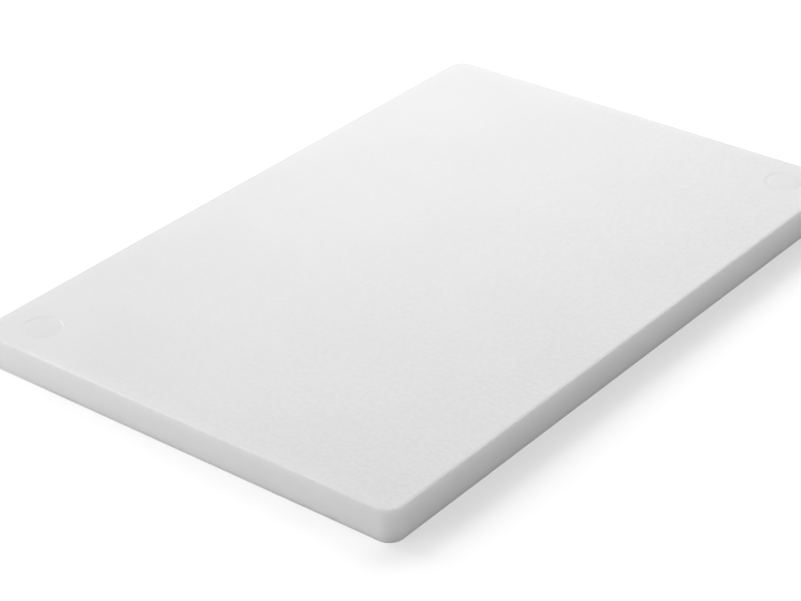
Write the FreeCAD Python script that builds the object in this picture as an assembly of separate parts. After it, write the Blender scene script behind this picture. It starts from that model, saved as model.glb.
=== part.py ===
import FreeCAD, Part
import os

# A white plastic cutting board: one thick slab, with two small round discs pressed into shallow pockets
# near two opposite corners of its top face.
# Millimetres. The origin is the centre of the underside, +X runs along the board and +Z points up.

# Board
BOARD_LENGTH = 450.0
BOARD_WIDTH = 300.0
BOARD_THICKNESS = 20.0
CORNER_RADIUS = 9.0  # the four upright corners, seen from above
EDGE_RADIUS = 0.5  # broken edges round the top and bottom faces

# Corner discs
DISC_RADIUS = 11.25
DISC_TO_SHORT_SIDE = 24.0  # disc centre to the nearest short side
DISC_TO_LONG_SIDE = 28.0  # disc centre to the nearest long side
DISC_RECESS = 0.22  # how far a disc's face lies below the board's face
DISC_EDGE_BEVEL = 0.05
POCKET_DEPTH = 3.0
POCKET_MOUTH_WIDTH = 2.0  # the shallow slope round a pocket, from the board's face down to the disc's
DISC_THICKNESS = POCKET_DEPTH - DISC_RECESS

# Each disc's corner, as the signs of X and Y: the two discs lie on one diagonal.
DISC_CORNERS = {"corner_disc_left": (-1, 1), "corner_disc_right": (1, -1)}


def disc_centre(signs, z):
    """The centre of the disc in one corner of the board, at height z."""
    x = signs[0] * (BOARD_LENGTH / 2 - DISC_TO_SHORT_SIDE)
    y = signs[1] * (BOARD_WIDTH / 2 - DISC_TO_LONG_SIDE)
    return FreeCAD.Vector(x, y, z)


def is_upright(edge):
    """True for a straight edge that runs the whole height of the slab."""
    return abs(edge.BoundBox.ZLength - BOARD_THICKNESS) < 0.01


def rounded_slab():
    """The board's outer shape: rounded upright corners, then a slight rounding round both faces."""
    low_corner = FreeCAD.Vector(-BOARD_LENGTH / 2, -BOARD_WIDTH / 2, 0)
    slab = Part.makeBox(BOARD_LENGTH, BOARD_WIDTH, BOARD_THICKNESS, low_corner)
    slab = slab.makeFillet(CORNER_RADIUS, [edge for edge in slab.Edges if is_upright(edge)])
    return slab.makeFillet(EDGE_RADIUS, [edge for edge in slab.Edges if not is_upright(edge)])


def pocket_cutter(signs):
    """The space of one blind pocket, with the shallow slope round its mouth."""
    bore = Part.makeCylinder(DISC_RADIUS, POCKET_DEPTH, disc_centre(signs, BOARD_THICKNESS - POCKET_DEPTH))
    mouth = Part.makeCone(
        DISC_RADIUS,
        DISC_RADIUS + POCKET_MOUTH_WIDTH,
        DISC_RECESS,
        disc_centre(signs, BOARD_THICKNESS - DISC_RECESS),
    )
    return bore.fuse(mouth)


def board_slab():
    """The solid plastic board, with a pocket for each disc."""
    slab = rounded_slab()
    for signs in DISC_CORNERS.values():
        slab = slab.cut(pocket_cutter(signs))
    return slab


def corner_disc(signs):
    """One pressed-in disc, with its upper edge bevelled."""
    disc = Part.makeCylinder(DISC_RADIUS, DISC_THICKNESS, disc_centre(signs, BOARD_THICKNESS - POCKET_DEPTH))
    face_height = BOARD_THICKNESS - DISC_RECESS
    upper_edge = [edge for edge in disc.Edges if edge.BoundBox.ZMin > face_height - 0.01]
    return disc.makeChamfer(DISC_EDGE_BEVEL, upper_edge)


def all_parts():
    """Every piece of the board, by the name of its node."""
    parts = {"board_slab": board_slab()}
    for name, signs in DISC_CORNERS.items():
        parts[name] = corner_disc(signs)
    return parts


os.makedirs("parts", exist_ok=True)
for node, shape in all_parts().items():
    shape.exportStep("parts/" + node + ".step")
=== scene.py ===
"""The looks of a white plastic cutting board: one thick slab with two small round discs in opposite corners.

Everything is in metres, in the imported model's frame: +X along the board, +Z up, the underside at z = 0.
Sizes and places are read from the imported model, so the pieces here fit it without any adjustment.
"""
import math

import bpy
import numpy as np
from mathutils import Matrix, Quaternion, Vector, noise


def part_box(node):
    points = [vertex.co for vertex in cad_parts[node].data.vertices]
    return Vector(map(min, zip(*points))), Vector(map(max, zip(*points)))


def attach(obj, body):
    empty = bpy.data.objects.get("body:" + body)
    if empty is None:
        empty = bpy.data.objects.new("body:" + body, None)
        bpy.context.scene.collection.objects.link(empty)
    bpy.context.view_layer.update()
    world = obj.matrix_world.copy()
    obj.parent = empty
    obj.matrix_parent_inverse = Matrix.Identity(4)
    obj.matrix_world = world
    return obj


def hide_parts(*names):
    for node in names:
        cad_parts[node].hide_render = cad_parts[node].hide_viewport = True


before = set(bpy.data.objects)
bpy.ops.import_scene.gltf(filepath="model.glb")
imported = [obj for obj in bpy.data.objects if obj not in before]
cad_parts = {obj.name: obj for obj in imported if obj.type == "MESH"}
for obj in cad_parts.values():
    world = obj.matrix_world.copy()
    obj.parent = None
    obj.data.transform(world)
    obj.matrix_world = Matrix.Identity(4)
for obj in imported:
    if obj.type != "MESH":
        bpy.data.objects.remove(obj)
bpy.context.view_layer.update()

MM = 0.001
TOUCHING = 0.001 * MM  # places closer than this are the same

# Mesh density
GRID_SPACING = 2.0 * MM  # quads on the two large faces
CORNER_CELLS = 8  # quads along each side of a rounded corner
POCKET_CELLS = 20  # quads along each side of the square patch round a pocket
POCKET_PATCH = 15.0 * MM  # half the width of that patch
PATCH_SHARES = (0.34, 0.67)  # the rings between that patch's border and the pocket's mouth
EDGE_STEPS = 6  # quads round each softened edge
SIDE_STEPS = 6  # quads up each side wall
MOUTH_STEPS = 8  # quads down the shallow mouth of a pocket
DISC_CROWN_STEPS = 8  # quads up the sloping part of a disc's face
SHARP_ANGLE = math.radians(40)  # faces that meet at more than this show a crease

# Discs and pockets
DISC_CROWN_WIDTH = 5.0 * MM  # the outer part of a disc's face, which rises from its rim
DISC_CROWN_RISE = 0.20 * MM
BURR_ANGLE = math.radians(-30)  # a short burr along the first pocket's mouth: from +X, round the disc's axis
BURR_SPREAD = math.radians(11)
BURR_WIDTH = 0.9 * MM
BURR_HEIGHT = 0.6 * MM

# Slow unevenness: how far the plastic strays, and over what length
FACE_WAVES = 0.09 * MM
FACE_RIPPLES = 0.036 * MM  # shorter waves on top of those
EDGE_WAVES = 0.04 * MM
SIDE_WAVES = 0.08 * MM
FACE_WAVELENGTH = 110.0 * MM
RIPPLE_WAVELENGTH = 35.0 * MM
EDGE_WAVELENGTH = 20.0 * MM
SIDE_WAVELENGTH = 50.0 * MM

# How exposed each place is to knocks, from 0 to 1, which also places the painted highlight along the softened
# edges. Everywhere else it is 0
EDGE_WEAR = 1.0  # round a softened edge
RIM_WEAR = 0.7  # where that edge meets a large face
SIDE_WEAR = 0.2

# Where light wanders through the plastic. It can't cross from one piece to another, so it would leave a dark
# ring at a disc's joint
CLEAR_OF_DISC = 15.0 * MM  # from a disc's axis: none wanders inside this
FAR_FROM_DISC = 34.0 * MM  # and it wanders freely outside this
FAR_FROM_BACK = 9.0 * MM  # and this far from the back edge, whose rim would glow white otherwise

# Camera: its place is in board lengths from the centre of the underside, its angles are in degrees
CAMERA_PLACE = (-2.2160, -1.7478, 1.6147)
CAMERA_AZIMUTH = -50.89
CAMERA_ELEVATION = 30.23
CAMERA_ROLL = -1.28
CAMERA_LENS_MM = 110.1
SENSOR_MM = 36.0


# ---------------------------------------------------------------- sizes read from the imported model


def node_points(node):
    """Every vertex of a CAD node, as an array."""
    return np.array([v.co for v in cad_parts[node].data.vertices])


class Board:
    """The slab's main sizes."""

    def __init__(self):
        low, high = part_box("board_slab")
        points = node_points("board_slab")
        top_face = points[points[:, 2] > high.z - TOUCHING]
        long_side = points[points[:, 1] > high.y - TOUCHING]
        self.half_length = high.x
        self.half_width = high.y
        self.thickness = high.z
        self.length = high.x - low.x
        self.edge_radius = high.x - top_face[:, 0].max()
        self.corner_radius = high.x - long_side[:, 0].max()


class Disc:
    """One corner disc's place and sizes."""

    def __init__(self, node, board):
        low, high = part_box(node)
        self.x = (low.x + high.x) / 2
        self.y = (low.y + high.y) / 2
        self.radius = (high.x - low.x) / 2
        self.base = low.z
        self.top = high.z
        points = node_points("board_slab")
        face = points[points[:, 2] > board.thickness - TOUCHING]
        self.mouth_radius = np.hypot(face[:, 0] - self.x, face[:, 1] - self.y).min()


def smooth_share(value, low, high):
    """How far value has got from low to high, from 0 to 1, with a soft start and end."""
    share = min(1.0, max(0.0, (value - low) / (high - low)))
    return share * share * (3 - 2 * share)


def scatter_at(x, y, board, discs):
    """How freely light wanders through the plastic at (x, y): less round a disc and by the back edge."""
    to_axis = min(math.hypot(x - disc.x, y - disc.y) for disc in discs)
    away_from_discs = smooth_share(to_axis, CLEAR_OF_DISC, FAR_FROM_DISC)
    inside_back_edge = smooth_share(board.half_width - y, 0.0, FAR_FROM_BACK)
    return min(away_from_discs, inside_back_edge)


# ---------------------------------------------------------------- mesh building


class Shell:
    """Points and faces of one mesh, gathered ring by ring and grid by grid."""

    def __init__(self):
        self.points = []
        self.faces = []
        self.wear = []

    def add(self, points, wear=0.0):
        """Adds points and returns their numbers. wear says how exposed they are to knocks, from 0 to 1."""
        first = len(self.points)
        self.points += [tuple(p) for p in points]
        self.wear += [wear] * len(points)
        return list(range(first, len(self.points)))

    def bridge(self, outer, inner):
        """Joins two closed rings of the same length with quads."""
        for k in range(len(outer)):
            after = (k + 1) % len(outer)
            self.faces.append((outer[k], outer[after], inner[after], inner[k]))

    def fill(self, grid, keep=None, flip=False):
        """Quads between neighbouring points of a two-way grid. keep(i, j) says which cells to fill."""
        for i in range(len(grid) - 1):
            for j in range(len(grid[0]) - 1):
                if keep is None or keep(i, j):
                    quad = (grid[i][j], grid[i + 1][j], grid[i + 1][j + 1], grid[i][j + 1])
                    self.faces.append(quad[::-1] if flip else quad)

    def drop_unused(self):
        """Leaves out the points that no face uses."""
        used = sorted({number for face in self.faces for number in face})
        renumber = {old: new for new, old in enumerate(used)}
        self.points = [self.points[number] for number in used]
        self.wear = [self.wear[number] for number in used]
        self.faces = [tuple(renumber[number] for number in face) for face in self.faces]

    def to_object(self, name, material, scatter):
        """A smooth-shaded object. Its material reads wear and scatter(x, y) at each point."""
        self.drop_unused()
        mesh = bpy.data.meshes.new(name)
        mesh.from_pydata(self.points, [], self.faces)
        mesh.attributes.new("wear", "FLOAT", "POINT").data.foreach_set("value", self.wear)
        shares = [scatter(x, y) for x, y, _ in self.points]
        mesh.attributes.new("scatter", "FLOAT", "POINT").data.foreach_set("value", shares)
        mesh.polygons.foreach_set("use_smooth", [True] * len(mesh.polygons))
        mesh.set_sharp_from_angle(angle=SHARP_ANGLE)
        mesh.materials.append(material)
        mesh.validate()
        piece = bpy.data.objects.new(name, mesh)
        bpy.context.scene.collection.objects.link(piece)
        normals = piece.modifiers.new("flat faces stay flat", "WEIGHTED_NORMAL")
        normals.keep_sharp = True
        return piece


def square_to_disc(a, b):
    """Moves a point of the square from -1 to 1 onto the unit disc, keeping points evenly spread by angle."""
    reach = max(abs(a), abs(b))
    if reach == 0:
        return 0.0, 0.0
    if abs(a) >= abs(b):
        angle = b / a * math.pi / 4 + (math.pi if a < 0 else 0)
    else:
        angle = math.copysign(math.pi / 2, b) - a / b * math.pi / 4
    return reach * math.cos(angle), reach * math.sin(angle)


def border(grid):
    """The outer ring of a two-way grid, anticlockwise seen from above."""
    last_i, last_j = len(grid) - 1, len(grid[0]) - 1
    ring = [grid[i][0] for i in range(last_i)]
    ring += [grid[last_i][j] for j in range(last_j)]
    ring += [grid[i][last_j] for i in range(last_i, 0, -1)]
    ring += [grid[0][j] for j in range(last_j, 0, -1)]
    return ring


def grid_lines(breaks, spacing, cells_for):
    """Lines through every break. cells_for gives the number of cells of stretches with a set count."""
    lines = [breaks[0]]
    for low, high in zip(breaks, breaks[1:]):
        size = round((high - low) / MM, 3)
        cells = cells_for.get(size) or max(1, math.ceil((high - low) / spacing))
        lines += [low + (high - low) * (k + 1) / cells for k in range(cells)]
    return lines


def face_lines(half, board, centres):
    """Grid lines across one direction of the board's flat face, from edge to edge."""
    flat = half - board.edge_radius
    straight = half - board.corner_radius
    breaks = {-flat, -straight, straight, flat}
    for centre in centres:
        breaks |= {centre - POCKET_PATCH, centre + POCKET_PATCH}
    breaks = sorted({round(b, 7) for b in breaks})
    corner = board.corner_radius - board.edge_radius
    cells_for = {round(corner / MM, 3): CORNER_CELLS, round(2 * POCKET_PATCH / MM, 3): POCKET_CELLS}
    return grid_lines(breaks, GRID_SPACING, cells_for)


def round_corner(x, y, board):
    """Pulls a grid point near a corner of the flat face inside the rounded outline."""
    straight_x = board.half_length - board.corner_radius
    straight_y = board.half_width - board.corner_radius
    past_x, past_y = abs(x) - straight_x, abs(y) - straight_y
    if past_x <= 0 or past_y <= 0:
        return x, y
    corner = board.corner_radius - board.edge_radius
    a, b = square_to_disc(past_x / corner, past_y / corner)
    return math.copysign(straight_x + corner * a, x), math.copysign(straight_y + corner * b, y)


def side_profile(board):
    """(how far out from the flat face's outline, height, wear) down the side, from top to bottom."""
    radius = board.edge_radius
    turns = [math.pi / 2 * k / EDGE_STEPS for k in range(1, EDGE_STEPS + 1)]
    upper = [(radius * math.sin(t), board.thickness - radius * (1 - math.cos(t)), EDGE_WEAR) for t in turns]
    wall_height = board.thickness - 2 * radius
    wall = [(radius, radius + wall_height * (1 - k / SIDE_STEPS), SIDE_WEAR) for k in range(1, SIDE_STEPS)]
    lower = [(out, board.thickness - height, EDGE_WEAR) for out, height, _ in reversed(upper)]
    return upper + wall + lower


def outline_ring(outline, out, height, board):
    """The flat face's outline pushed outwards by out, at one height."""
    straight_x = board.half_length - board.corner_radius
    straight_y = board.half_width - board.corner_radius
    corner = board.corner_radius - board.edge_radius
    ring = []
    for x, y, _ in outline:
        centre = Vector((max(-straight_x, min(straight_x, x)), max(-straight_y, min(straight_y, y))))
        outwards = (Vector((x, y)) - centre).normalized()
        place = centre + outwards * (corner + out)
        ring.append((place.x, place.y, height))
    return ring


def ring_round(disc, radius, height, cells):
    """A circle of points round a disc's axis, in the same order as border() gives."""
    square = [[(2 * i / cells - 1, 2 * j / cells - 1) for j in range(cells + 1)] for i in range(cells + 1)]
    circle = [square_to_disc(a, b) for a, b in border(square)]
    return [(disc.x + radius * a, disc.y + radius * b, height) for a, b in circle]


def cap(shell, ring, disc, radius, height, cells, flip=False):
    """Fills a ring with a round grid of quads."""
    grid = [[None] * (cells + 1) for _ in range(cells + 1)]
    border_places = [[(i, j) for j in range(cells + 1)] for i in range(cells + 1)]
    for (i, j), number in zip(border(border_places), ring):
        grid[i][j] = number
    for i in range(1, cells):
        for j in range(1, cells):
            a, b = square_to_disc(2 * i / cells - 1, 2 * j / cells - 1)
            grid[i][j] = shell.add([(disc.x + radius * a, disc.y + radius * b, height)])[0]
    shell.fill(grid, flip=flip)


def pocket_profile(disc, board):
    """(radius, height) from the board's face down the smooth mouth and the pocket's wall."""
    width, depth = disc.mouth_radius - disc.radius, board.thickness - disc.top
    shares = [k / MOUTH_STEPS for k in range(MOUTH_STEPS + 1)]
    mouth = [(disc.mouth_radius - width * t, board.thickness - depth * smooth_share(t, 0, 1)) for t in shares]
    return mouth + [(disc.radius, disc.base)]


def add_pocket(shell, grid, cells, disc, board):
    """Fits a round pocket into the square hole left in the top face."""
    (first_i, last_i), (first_j, last_j) = cells
    patch = [[grid[i][j] for j in range(first_j, last_j + 1)] for i in range(first_i, last_i + 1)]
    ring = border(patch)
    profile = pocket_profile(disc, board)
    outer_radius, outer_height = profile[0]
    circle = ring_round(disc, outer_radius, outer_height, POCKET_CELLS)
    square = [shell.points[number] for number in ring]
    for share in PATCH_SHARES:
        between = [Vector(s).lerp(Vector(c), share) for s, c in zip(square, circle)]
        after = shell.add(between)
        shell.bridge(ring, after)
        ring = after
    for radius, height in profile:
        after = shell.add(ring_round(disc, radius, height, POCKET_CELLS))
        shell.bridge(ring, after)
        ring = after
    last_radius, last_height = profile[-1]
    cap(shell, ring, disc, last_radius, last_height, POCKET_CELLS)


def slab_shell(board, discs):
    """The slab: two large grids, the rounded sides between them, and a pocket for each disc."""
    shell = Shell()
    lines_x = face_lines(board.half_length, board, [d.x for d in discs])
    lines_y = face_lines(board.half_width, board, [d.y for d in discs])

    def face(height):
        return [shell.add([(*round_corner(x, y, board), height) for y in lines_y]) for x in lines_x]

    def patch_range(lines, centre):
        first = min(range(len(lines)), key=lambda k: abs(lines[k] - (centre - POCKET_PATCH)))
        return first, first + POCKET_CELLS

    top, bottom = face(board.thickness), face(0.0)
    patches = [(patch_range(lines_x, d.x), patch_range(lines_y, d.y)) for d in discs]

    def outside_patches(i, j):
        return not any(i0 <= i < i1 and j0 <= j < j1 for (i0, i1), (j0, j1) in patches)

    shell.fill(top, keep=outside_patches)
    shell.fill(bottom, flip=True)
    for disc, patch in zip(discs, patches):
        add_pocket(shell, top, patch, disc, board)

    ring = border(top)
    outline = [shell.points[number] for number in ring]
    for out, height, wear in side_profile(board)[:-1]:
        below = shell.add(outline_ring(outline, out, height, board), wear)
        shell.bridge(below, ring)
        ring = below
    shell.bridge(border(bottom), ring)
    for number in border(top) + border(bottom):
        shell.wear[number] = RIM_WEAR
    return shell


def disc_shell(disc):
    """A solid disc whose face rises a little from its rim towards its middle."""
    shell = Shell()
    inner = disc.radius - DISC_CROWN_WIDTH
    shares = [k / DISC_CROWN_STEPS for k in range(DISC_CROWN_STEPS + 1)]
    upper = [(inner + DISC_CROWN_WIDTH * t, disc.top + DISC_CROWN_RISE * (1 - t * t)) for t in shares]
    lower = [(disc.radius, disc.base), (inner, disc.base)]
    rings = [shell.add(ring_round(disc, radius, height, POCKET_CELLS)) for radius, height in upper + lower]
    for above, below in zip(rings, rings[1:]):
        shell.bridge(below, above)
    cap(shell, rings[0], disc, inner, disc.top + DISC_CROWN_RISE, POCKET_CELLS)
    cap(shell, rings[-1], disc, inner, disc.base, POCKET_CELLS, flip=True)
    return shell


def waves(x, y, z, wavelength, seed):
    """Smooth noise from -1 to 1 that changes over about one wavelength."""
    return noise.noise(Vector((x / wavelength + seed, y / wavelength, z / wavelength)))


def burr_share(x, y, disc):
    """How high the burr on a disc's pocket stands at (x, y), from 0 to 1."""
    middle = (disc.radius + disc.mouth_radius) / 2
    across = (math.hypot(x - disc.x, y - disc.y) - middle) / BURR_WIDTH
    along = (math.atan2(y - disc.y, x - disc.x) - BURR_ANGLE) / BURR_SPREAD
    return math.exp(-across * across - along * along)


def weather(shell, board, burred_disc):
    """Gives the plastic its slow unevenness, less and less towards the underside, which stays flat."""
    for k, (x, y, z) in enumerate(shell.points):
        near_top = z > 0.9 * board.thickness
        lift = FACE_WAVES * waves(x, y, 0, FACE_WAVELENGTH, seed=3.0)
        lift += FACE_RIPPLES * waves(x, y, 0, RIPPLE_WAVELENGTH, seed=8.0)
        if shell.wear[k] == EDGE_WEAR:
            lift += EDGE_WAVES * waves(x, y, 0, EDGE_WAVELENGTH, seed=21.0)
        if near_top:
            lift += BURR_HEIGHT * burr_share(x, y, burred_disc)
        push_x = SIDE_WAVES * abs(waves(0, y, z, SIDE_WAVELENGTH, seed=12.0)) * x / board.half_length
        push_y = SIDE_WAVES * abs(waves(x, 0, z, SIDE_WAVELENGTH, seed=17.0)) * y / board.half_width
        shell.points[k] = (x - push_x, y - push_y, z + lift * z / board.thickness)


# ---------------------------------------------------------------- materials


class Nodes:
    """A material's node tree, with short calls for making and joining nodes."""

    def __init__(self, name):
        self.material = bpy.data.materials.new(name)
        self.material.use_nodes = True
        self.tree = self.material.node_tree
        self.tree.nodes.clear()
        self.output = self.tree.nodes.new("ShaderNodeOutputMaterial")
        self.place = self.tree.nodes.new("ShaderNodeTexCoord").outputs["Object"]

    def make(self, kind, **settings):
        """A node with its own settings."""
        node = self.tree.nodes.new("ShaderNode" + kind)
        for key, value in settings.items():
            setattr(node, key, value)
        return node

    def feed(self, socket, value):
        """Sets a socket, or joins it if value is another node's output."""
        if isinstance(value, bpy.types.NodeSocket):
            self.tree.links.new(value, socket)
        else:
            socket.default_value = value

    def stretched(self, scale):
        """The object's coordinates, stretched by scale along X, Y and Z."""
        mapping = self.make("Mapping")
        self.feed(mapping.inputs["Vector"], self.place)
        self.feed(mapping.inputs["Scale"], scale)
        return mapping.outputs["Vector"]

    def noise(self, scale, detail, vector=None):
        """Smooth noise with about scale features to the metre."""
        node = self.make("TexNoise")
        self.feed(node.inputs["Vector"], vector or self.place)
        self.feed(node.inputs["Scale"], scale)
        self.feed(node.inputs["Detail"], detail)
        return node.outputs["Fac"]

    def ramp(self, value, low, high, from_low=0.3, from_high=0.7):
        """Maps value smoothly onto the span from low to high. Noise mostly runs from 0.3 to 0.7."""
        node = self.make("MapRange", interpolation_type="SMOOTHSTEP")
        self.feed(node.inputs["Value"], value)
        self.feed(node.inputs["From Min"], from_low)
        self.feed(node.inputs["From Max"], from_high)
        self.feed(node.inputs["To Min"], low)
        self.feed(node.inputs["To Max"], high)
        return node.outputs["Result"]

    def maths(self, operation, a, b):
        """One arithmetic step."""
        node = self.make("Math", operation=operation)
        self.feed(node.inputs[0], a)
        self.feed(node.inputs[1], b)
        return node.outputs[0]

    def bump(self, height, depth, before=None):
        """A bump whose height goes from 0 to 1 over depth, laid over an earlier one."""
        node = self.make("Bump")
        self.feed(node.inputs["Height"], height)
        self.feed(node.inputs["Distance"], depth)
        self.feed(node.inputs["Strength"], 1.0)
        if before is not None:
            self.feed(node.inputs["Normal"], before)
        return node.outputs["Normal"]

    def grey(self, value):
        """A neutral colour of one brightness."""
        node = self.make("CombineColor")
        for channel in ("Red", "Green", "Blue"):
            self.feed(node.inputs[channel], value)
        return node.outputs["Color"]


SLAB_BRIGHTNESS = 0.86
# painted shade: the discs get a darker copy of the slab's plastic, standing in for the shade of the shallow
# pockets they sit in
DISC_PAINTED_SHADE_BRIGHTNESS = 0.84
CLOUD_TINT = 0.008  # how far the plastic's brightness drifts either way
CLOUDS_PER_METRE = 14.0
SCATTER_DISTANCE = 5.0 * MM
PLASTIC_IOR = 1.5
ROUGHNESS_LOW, ROUGHNESS_HIGH = 0.42, 0.50

GRAIN_SIZE = 2.8 * MM  # one pebble of the embossed grain
GRAIN_DEPTH = 0.22 * MM
GRAIN_PAINTED_LIGHT = 0.010  # painted light and shade on the grain: how much lighter its tops are painted than its middle height, and its valleys darker
GRAIN_AT_FRONT = 1.45  # the grain is coarser along the front long side
GRAIN_AT_BACK = 0.55
GRAIN_LEFT = 0.35  # how much of it is left where no light wanders: round a disc and by the back edge
FINE_GRAIN_SIZE = 0.9 * MM
FINE_GRAIN_DEPTH = 0.006 * MM
PLANING_PITCH = 4.3 * MM  # the faint rows across the board
PLANING_STRETCH = 6.0  # rows to the metre in the other two directions, so that each runs far
PLANING_DEPTH = 0.08 * MM

EDGE_PAINTED_HIGHLIGHT = 0.04  # painted highlight: how much lighter the softened edges are painted
EDGE_POLISH = 0.18  # how much smoother they are
SCUFFS_PER_METRE = 120.0
SCUFF_DEPTH = 0.05 * MM
SCUFF_TINT = 0.015  # how much darker a scuff is
SCUFF_ROUGHNESS = 0.12  # how much rougher


def plastic(name, brightness, board):
    """White polyethylene that lets light in, with a pebbled grain, faint rows and polished, scuffed edges,
    and with painted light and shade on the grain and a painted highlight along the edges.
    """
    n = Nodes(name)
    shader = n.make("BsdfPrincipled")
    wear = n.make("Attribute", attribute_name="wear").outputs["Fac"]
    scatter = n.make("Attribute", attribute_name="scatter").outputs["Fac"]
    across = n.make("SeparateXYZ")
    n.feed(across.inputs["Vector"], n.place)

    clouds = n.noise(CLOUDS_PER_METRE, 3.0)
    grain = n.noise(1 / GRAIN_SIZE, 1.5)
    fine_grain = n.noise(1 / FINE_GRAIN_SIZE, 2.0)
    rows = n.noise(1.0, 2.0, n.stretched((1 / PLANING_PITCH, PLANING_STRETCH, PLANING_STRETCH)))
    scuffs = n.maths("MULTIPLY", wear, n.ramp(n.noise(SCUFFS_PER_METRE, 4.0), 0.0, 1.0, 0.48, 0.68))
    # where the softened edges are polished and get a painted highlight
    edge_polish_and_highlight = n.ramp(wear, 0.0, 1.0, RIM_WEAR, EDGE_WEAR)

    on_face = n.ramp(wear, 1.0, 0.0, 0.02, 0.18)
    left = n.ramp(scatter, GRAIN_LEFT, 1.0, 0.0, 1.0)
    reach = board.half_width
    front_to_back = n.ramp(across.outputs["Y"], GRAIN_AT_FRONT, GRAIN_AT_BACK, -reach, reach)
    grain_strength = n.maths("MULTIPLY", n.maths("MULTIPLY", on_face, left), front_to_back)

    tone = n.ramp(clouds, brightness - CLOUD_TINT, brightness + CLOUD_TINT)
    # painted light and shade: the grain's tops are painted lighter and its valleys darker, as the relief
    # would be lit
    tone = n.maths("ADD", tone, n.maths("MULTIPLY", n.ramp(grain, -GRAIN_PAINTED_LIGHT, GRAIN_PAINTED_LIGHT), grain_strength))
    # painted highlight along the softened edges
    tone = n.maths("ADD", tone, n.maths("MULTIPLY", edge_polish_and_highlight, EDGE_PAINTED_HIGHLIGHT))
    tone = n.maths("SUBTRACT", tone, n.maths("MULTIPLY", scuffs, SCUFF_TINT))
    n.feed(shader.inputs["Base Color"], n.grey(tone))

    roughness = n.ramp(fine_grain, ROUGHNESS_LOW, ROUGHNESS_HIGH)
    roughness = n.maths("SUBTRACT", roughness, n.maths("MULTIPLY", edge_polish_and_highlight, EDGE_POLISH))
    roughness = n.maths("ADD", roughness, n.maths("MULTIPLY", scuffs, SCUFF_ROUGHNESS))
    n.feed(shader.inputs["Roughness"], roughness)

    normal = n.bump(n.maths("MULTIPLY", rows, grain_strength), PLANING_DEPTH)
    normal = n.bump(n.maths("MULTIPLY", grain, grain_strength), GRAIN_DEPTH, normal)
    normal = n.bump(fine_grain, FINE_GRAIN_DEPTH, normal)
    normal = n.bump(scuffs, SCUFF_DEPTH, normal)
    n.feed(shader.inputs["Normal"], normal)

    n.feed(shader.inputs["IOR"], PLASTIC_IOR)
    n.feed(shader.inputs["Subsurface Weight"], scatter)
    n.feed(shader.inputs["Subsurface Radius"], (1.0, 1.0, 1.0))
    n.feed(shader.inputs["Subsurface Scale"], SCATTER_DISTANCE)
    n.feed(n.output.inputs["Surface"], shader.outputs["BSDF"])
    return n.material


# ---------------------------------------------------------------- studio

FLOOR_SIZE = 12.0
FLOOR_BRIGHTNESS = 0.9
FLOOR_GLOW = 0.406
FLOOR_GLOW_RISES = 0.6  # from the board's centre: the glow grows from here, as the lamps' light falls away
FLOOR_ALL_WHITE = 2.0
ROOM_LIGHT = 0.111  # what the board gets from the room
ROOM_SEEN = 1.05  # what the camera sees of it
LAMP_DISTANCE = 2.0
LAMP_SIZE = 1.4
LAMPS = {  # azimuth and elevation in degrees, power in watts
    "back light": (180.0, 35.0, 22.5),
    "right back light": (120.0, 35.0, 20.7),
    "low left light": (-120.0, 15.0, 18.0),
    "low front light": (0.0, 15.0, 9.8),
}


def floor():
    """A large pale floor. Only the camera sees its glow, which keeps it white."""
    mesh = bpy.data.meshes.new("floor")
    half = FLOOR_SIZE / 2
    corners = [(-half, -half, 0), (half, -half, 0), (half, half, 0), (-half, half, 0)]
    mesh.from_pydata(corners, [], [(0, 1, 2, 3)])
    n = Nodes("floor paper")
    shader = n.make("BsdfPrincipled")
    n.feed(shader.inputs["Base Color"], (FLOOR_BRIGHTNESS,) * 3 + (1,))
    n.feed(shader.inputs["Roughness"], 0.9)
    n.feed(shader.inputs["Specular IOR Level"], 0.0)
    n.feed(shader.inputs["Emission Color"], (1, 1, 1, 1))
    camera_sees = n.make("LightPath").outputs["Is Camera Ray"]
    from_board = n.make("VectorMath", operation="LENGTH")
    n.feed(from_board.inputs["Vector"], n.place)
    glow = n.ramp(from_board.outputs["Value"], FLOOR_GLOW, 1.0, FLOOR_GLOW_RISES, FLOOR_ALL_WHITE)
    n.feed(shader.inputs["Emission Strength"], n.maths("MULTIPLY", camera_sees, glow))
    n.feed(n.output.inputs["Surface"], shader.outputs["BSDF"])
    mesh.materials.append(n.material)
    sheet = bpy.data.objects.new("floor", mesh)
    bpy.context.scene.collection.objects.link(sheet)


def room():
    """An even white room. The camera itself sees it as pure white."""
    world = bpy.data.worlds.new("white room")
    world.use_nodes = True
    tree = world.node_tree
    tree.nodes.clear()
    output = tree.nodes.new("ShaderNodeOutputWorld")
    background = tree.nodes.new("ShaderNodeBackground")
    background.inputs["Color"].default_value = (1, 1, 1, 1)
    path = tree.nodes.new("ShaderNodeLightPath")
    strength = tree.nodes.new("ShaderNodeMix")
    strength.inputs["A"].default_value = ROOM_LIGHT
    strength.inputs["B"].default_value = ROOM_SEEN
    tree.links.new(path.outputs["Is Camera Ray"], strength.inputs["Factor"])
    tree.links.new(strength.outputs["Result"], background.inputs["Strength"])
    tree.links.new(background.outputs["Background"], output.inputs["Surface"])
    bpy.context.scene.world = world


def direction(azimuth, elevation):
    """From the board towards an azimuth and elevation in degrees: azimuth 0 is -Y, 90 is +X."""
    a, e = math.radians(azimuth), math.radians(elevation)
    return Vector((math.sin(a) * math.cos(e), -math.cos(a) * math.cos(e), math.sin(e)))


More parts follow.
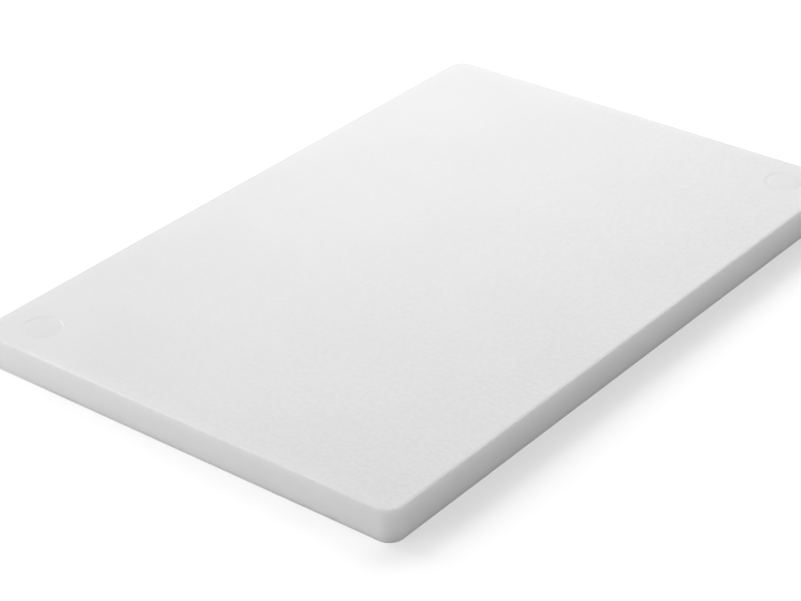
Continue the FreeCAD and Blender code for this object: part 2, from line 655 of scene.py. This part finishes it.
def softbox(name, azimuth, elevation, power):
    """A square soft light that faces the board."""
    light = bpy.data.lights.new(name, "AREA")
    light.shape = "SQUARE"
    light.size = LAMP_SIZE
    light.energy = power
    lamp = bpy.data.objects.new(name, light)
    towards = direction(azimuth, elevation)
    lamp.location = towards * LAMP_DISTANCE
    lamp.rotation_mode = "QUATERNION"
    lamp.rotation_quaternion = (-towards).to_track_quat("-Z", "Y")
    bpy.context.scene.collection.objects.link(lamp)


def camera(board):
    """The camera, at the viewing angle of the reference."""
    data = bpy.data.cameras.new("camera")
    data.lens = CAMERA_LENS_MM
    data.sensor_width = SENSOR_MM
    data.clip_start, data.clip_end = 0.05, 50.0
    eye = bpy.data.objects.new("camera", data)
    eye.location = Vector(CAMERA_PLACE) * board.length
    back = direction(CAMERA_AZIMUTH, CAMERA_ELEVATION)
    roll = Quaternion((0, 0, 1), math.radians(CAMERA_ROLL))
    eye.rotation_mode = "QUATERNION"
    eye.rotation_quaternion = (-back).to_track_quat("-Z", "Y") @ roll
    bpy.context.scene.collection.objects.link(eye)
    bpy.context.scene.camera = eye


# ---------------------------------------------------------------- the scene


def add_piece(shell, name, node, material, board, discs):
    """Makes one visible piece, which stands for a CAD node and moves with the board."""
    weather(shell, board, discs[0])
    piece = shell.to_object(name, material, lambda x, y: scatter_at(x, y, board, discs))
    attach(piece, "root")
    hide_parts(node)


board = Board()
disc_nodes = ("corner_disc_left", "corner_disc_right")
discs = [Disc(node, board) for node in disc_nodes]

slab_plastic = plastic("slab plastic", SLAB_BRIGHTNESS, board)
# the discs' plastic is painted darker, as shade of their pockets
shaded_disc_plastic = plastic("disc plastic with painted shade", DISC_PAINTED_SHADE_BRIGHTNESS, board)
add_piece(slab_shell(board, discs), "slab", "board_slab", slab_plastic, board, discs)
for node, disc in zip(disc_nodes, discs):
    name = node.replace("corner_", "")
    add_piece(disc_shell(disc), name, node, shaded_disc_plastic, board, discs)

floor()
room()
for name, (azimuth, elevation, power) in LAMPS.items():
    softbox(name, azimuth, elevation, power)
camera(board)
bpy.context.scene.view_settings.view_transform = "Standard"
